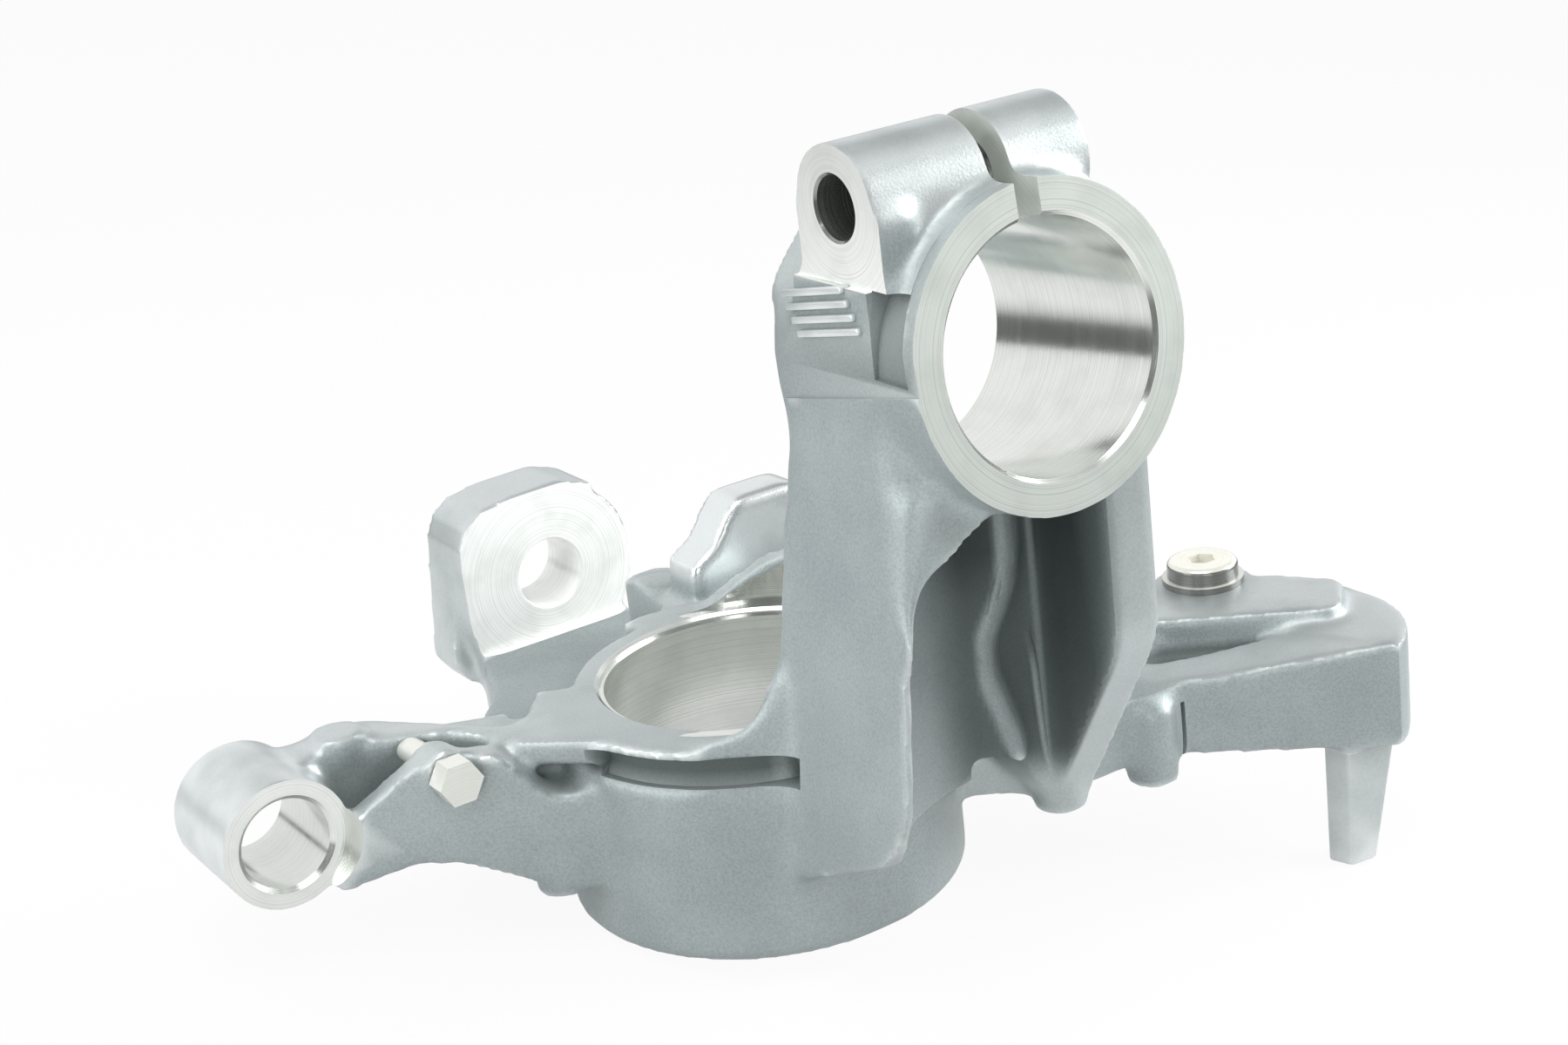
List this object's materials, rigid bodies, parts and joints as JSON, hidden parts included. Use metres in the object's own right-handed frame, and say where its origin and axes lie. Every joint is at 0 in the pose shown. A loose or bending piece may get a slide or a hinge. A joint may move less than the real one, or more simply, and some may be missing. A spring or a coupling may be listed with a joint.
{
  "type": "steering knuckle",
  "caption": "Cast steering knuckle with a bearing housing, split strut clamp, caliper arm, steering arm and lower ball joint boss.",
  "frame": {"origin": "on the bearing axis, at the housing's machined outboard face", "axes": "+Z points inboard along the bearing axis, -Y points up the car towards the strut clamp's open near face, and +X points towards the caliper side"},
  "size_m": [0.2736, 0.2073, 0.2036],
  "materials": {
    "casting": "shot-blasted cast surface with machined faces and bores",
    "zinc_steel": "zinc plated"
  },
  "bodies": {
    "root": {"knuckle_casting": "casting", "pad_washer": "zinc_steel", "pad_screw": "zinc_steel", "arm_bolt": "zinc_steel"}
  },
  "joints": []
}
